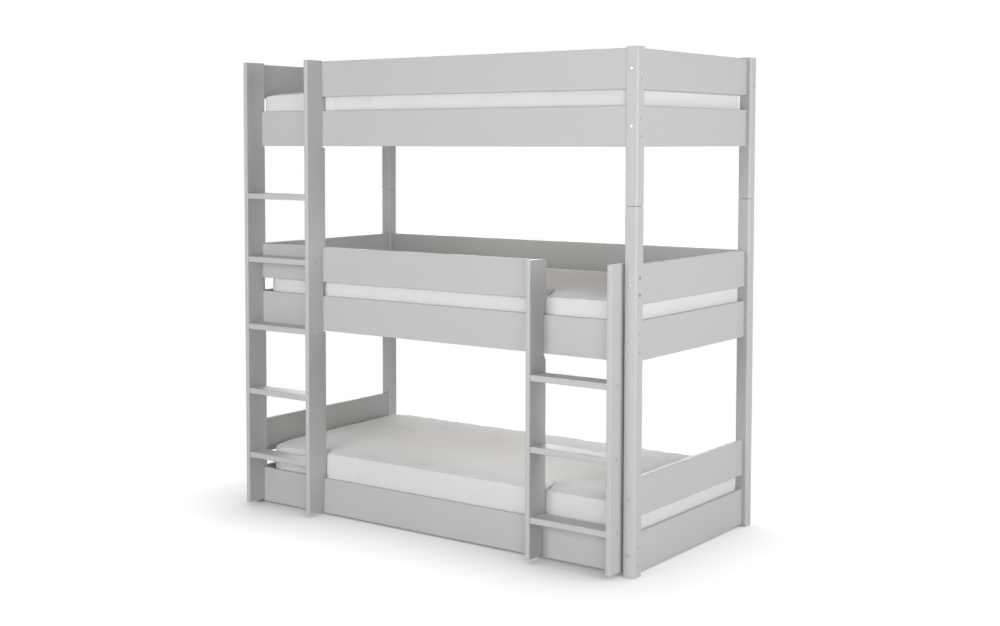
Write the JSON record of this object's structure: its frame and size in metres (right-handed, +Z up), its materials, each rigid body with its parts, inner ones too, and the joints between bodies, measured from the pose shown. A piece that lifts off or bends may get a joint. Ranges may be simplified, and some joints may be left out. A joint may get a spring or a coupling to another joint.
{
  "type": "triple bunk bed",
  "caption": "Tall bunk bed: single beds stacked between jointed corner posts, with guard boards, slatted decks, loose mattresses, and a tall and a short ladder hooked over the front rails.",
  "frame": {"origin": "on the floor, under the middle of the bed with its ladders", "axes": "+Z up; +X along the bed's length, to the right as seen from the ladders; +Y from the ladders to the back"},
  "size_m": [1.98, 1.055, 1.96],
  "materials": {
    "lacquered_wood": "satin light grey lacquer, no grain showing",
    "slat_wood": "bare planed pine",
    "mattress_cover": "matt woven cotton, off-white",
    "pin_steel": "turned, zinc plated"
  },
  "bodies": {
    "bed_frame": {"front_left_lower_post": "lacquered_wood", "front_left_upper_post": "lacquered_wood", "front_left_post_pin": "pin_steel", "front_right_lower_post": "lacquered_wood", "front_right_upper_post": "lacquered_wood", "front_right_post_pin": "pin_steel", "rear_left_lower_post": "lacquered_wood", "rear_left_upper_post": "lacquered_wood", "rear_left_post_pin": "pin_steel", "rear_right_lower_post": "lacquered_wood", "rear_right_upper_post": "lacquered_wood", "rear_right_post_pin": "pin_steel", "front_bottom_rail": "lacquered_wood", "front_bottom_ledge": "lacquered_wood", "rear_bottom_rail": "lacquered_wood", "rear_bottom_ledge": "lacquered_wood", "left_bottom_rail": "lacquered_wood", "left_bottom_guard": "lacquered_wood", "right_bottom_rail": "lacquered_wood", "right_bottom_guard": "lacquered_wood", "bottom_slats": "slat_wood", "front_middle_rail": "lacquered_wood", "front_middle_guard": "lacquered_wood", "front_middle_ledge": "lacquered_wood", "rear_middle_rail": "lacquered_wood", "rear_middle_guard": "lacquered_wood", "rear_middle_ledge": "lacquered_wood", "left_middle_rail": "lacquered_wood", "left_middle_guard": "lacquered_wood", "right_middle_rail": "lacquered_wood", "right_middle_guard": "lacquered_wood", "middle_slats": "slat_wood", "front_top_rail": "lacquered_wood", "front_top_guard": "lacquered_wood", "front_top_ledge": "lacquered_wood", "rear_top_rail": "lacquered_wood", "rear_top_guard": "lacquered_wood", "rear_top_ledge": "lacquered_wood", "left_top_rail": "lacquered_wood", "left_top_guard": "lacquered_wood", "right_top_rail": "lacquered_wood", "right_top_guard": "lacquered_wood", "top_slats": "slat_wood", "tall_ladder_left_stile": "lacquered_wood", "tall_ladder_right_stile": "lacquered_wood", "tall_ladder_tread_1": "lacquered_wood", "tall_ladder_tread_2": "lacquered_wood", "tall_ladder_tread_3": "lacquered_wood", "tall_ladder_tread_4": "lacquered_wood", "tall_ladder_tread_5": "lacquered_wood", "short_ladder_left_stile": "lacquered_wood", "short_ladder_right_stile": "lacquered_wood", "short_ladder_tread_1": "lacquered_wood", "short_ladder_tread_2": "lacquered_wood", "short_ladder_tread_3": "lacquered_wood"},
    "bottom_mattress_body": {"bottom_mattress": "mattress_cover"},
    "middle_mattress_body": {"middle_mattress": "mattress_cover"},
    "top_mattress_body": {"top_mattress": "mattress_cover"}
  },
  "joints": [
    {"name": "bottom_mattress_lift", "type": "slide", "parent": "bed_frame", "child": "bottom_mattress_body", "axis": [0, 0, 1], "range_m": [0, 0.32]},
    {"name": "middle_mattress_lift", "type": "slide", "parent": "bed_frame", "child": "middle_mattress_body", "axis": [0, 0, 1], "range_m": [0, 0.32]},
    {"name": "top_mattress_lift", "type": "slide", "parent": "bed_frame", "child": "top_mattress_body", "axis": [0, 0, 1], "range_m": [0, 0.32]}
  ]
}
